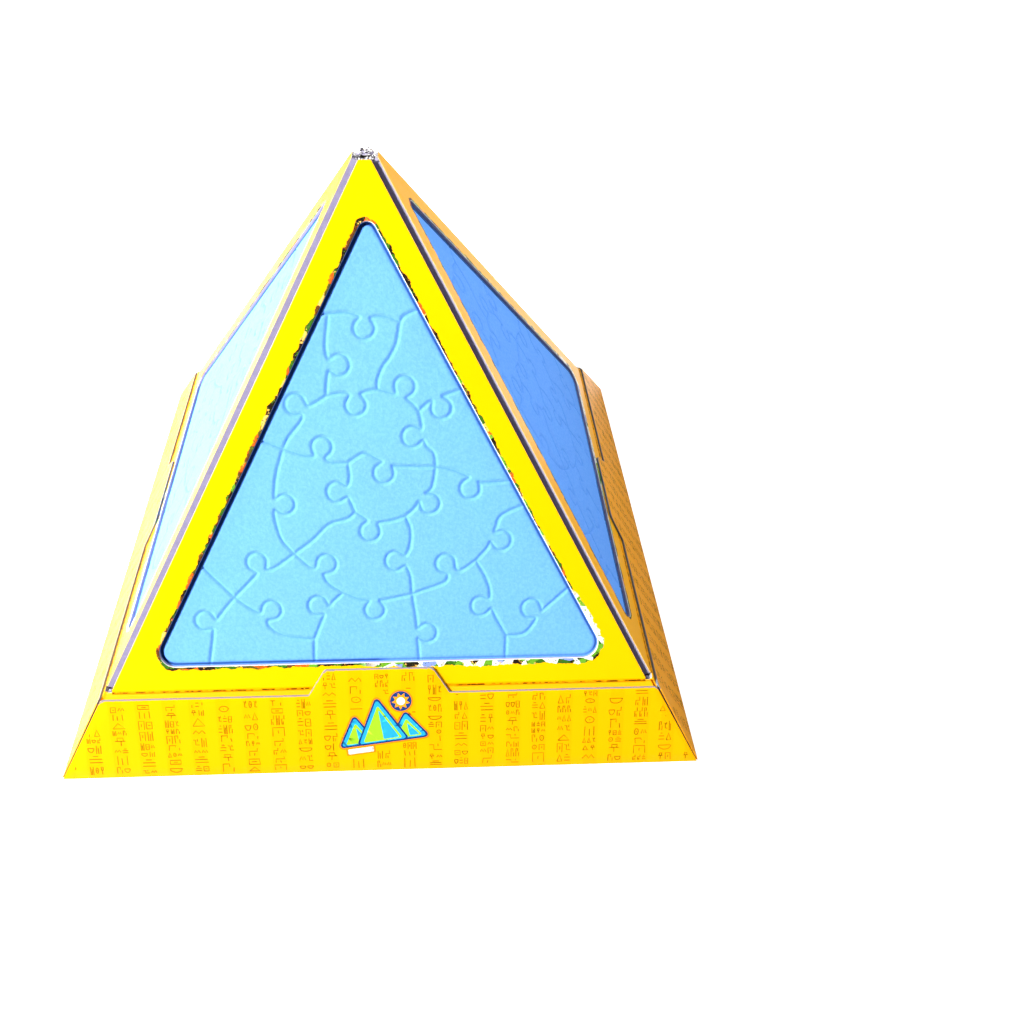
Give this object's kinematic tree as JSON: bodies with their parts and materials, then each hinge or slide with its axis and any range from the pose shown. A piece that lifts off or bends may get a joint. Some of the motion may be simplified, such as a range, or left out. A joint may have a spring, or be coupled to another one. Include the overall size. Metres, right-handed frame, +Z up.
{
  "type": "pyramid jigsaw puzzle case",
  "caption": "Square pyramid of four leaning triangular jigsaw trays, hinged to a low inner collar and held by a sloping printed skirt with locking tongues.",
  "frame": {"origin": "centre of the underside, on the floor plane", "axes": "+Z up to the tip, front panel faces -Y, +X to the right seen from the front"},
  "size_m": [0.26, 0.26, 0.1953],
  "materials": {
    "yellow_print": "glossy varnished yellow print on paper",
    "printed_card": "semi-gloss yellow card with faint tan glyph columns",
    "grey_board": "matt grey pulp board with raw cut edges",
    "blue_paper": "matt sky blue paper, debossed jigsaw outlines"
  },
  "bodies": {
    "base": {"floor_card": "printed_card", "floor_board": "grey_board", "front_collar_strip": "yellow_print", "right_collar_strip": "yellow_print", "back_collar_strip": "yellow_print", "left_collar_strip": "yellow_print"},
    "front_panel": {"front_face_sheet": "yellow_print", "front_frame_board": "grey_board", "front_tray_sheet": "blue_paper", "front_backing_board": "grey_board"},
    "front_flap": {"front_skirt_flap": "printed_card"},
    "right_panel": {"right_face_sheet": "yellow_print", "right_frame_board": "grey_board", "right_tray_sheet": "blue_paper", "right_backing_board": "grey_board"},
    "right_flap": {"right_skirt_flap": "printed_card"},
    "back_panel": {"back_face_sheet": "yellow_print", "back_frame_board": "grey_board", "back_tray_sheet": "blue_paper", "back_backing_board": "grey_board"},
    "back_flap": {"back_skirt_flap": "printed_card"},
    "left_panel": {"left_face_sheet": "yellow_print", "left_frame_board": "grey_board", "left_tray_sheet": "blue_paper", "left_backing_board": "grey_board"},
    "left_flap": {"left_skirt_flap": "printed_card"}
  },
  "joints": [
    {"name": "front_panel_hinge", "type": "hinge", "parent": "base", "child": "front_panel", "pos_m": [0, -0.10961, 0.0306], "axis": [1, 0, 0], "range_deg": [0, 131]},
    {"name": "front_flap_hinge", "type": "hinge", "parent": "base", "child": "front_flap", "pos_m": [0, -0.1295, 0.0005], "axis": [1, 0, 0], "range_deg": [0, 122.5]},
    {"name": "right_panel_hinge", "type": "hinge", "parent": "base", "child": "right_panel", "pos_m": [0.10961, 0, 0.0306], "axis": [0, 1, 0], "range_deg": [0, 131]},
    {"name": "right_flap_hinge", "type": "hinge", "parent": "base", "child": "right_flap", "pos_m": [0.1295, 0, 0.0005], "axis": [0, 1, 0], "range_deg": [0, 122.5]},
    {"name": "back_panel_hinge", "type": "hinge", "parent": "base", "child": "back_panel", "pos_m": [0, 0.10961, 0.0306], "axis": [-1, 0, 0], "range_deg": [0, 131]},
    {"name": "back_flap_hinge", "type": "hinge", "parent": "base", "child": "back_flap", "pos_m": [0, 0.1295, 0.0005], "axis": [-1, 0, 0], "range_deg": [0, 122.5]},
    {"name": "left_panel_hinge", "type": "hinge", "parent": "base", "child": "left_panel", "pos_m": [-0.10961, 0, 0.0306], "axis": [0, -1, 0], "range_deg": [0, 131]},
    {"name": "left_flap_hinge", "type": "hinge", "parent": "base", "child": "left_flap", "pos_m": [-0.1295, 0, 0.0005], "axis": [0, -1, 0], "range_deg": [0, 122.5]}
  ],
  "couplings": [
    {"joint": "front_flap_hinge", "follows": "front_panel_hinge", "ratio": 0.935},
    {"joint": "right_flap_hinge", "follows": "right_panel_hinge", "ratio": 0.935},
    {"joint": "back_flap_hinge", "follows": "back_panel_hinge", "ratio": 0.935},
    {"joint": "left_flap_hinge", "follows": "left_panel_hinge", "ratio": 0.935}
  ]
}
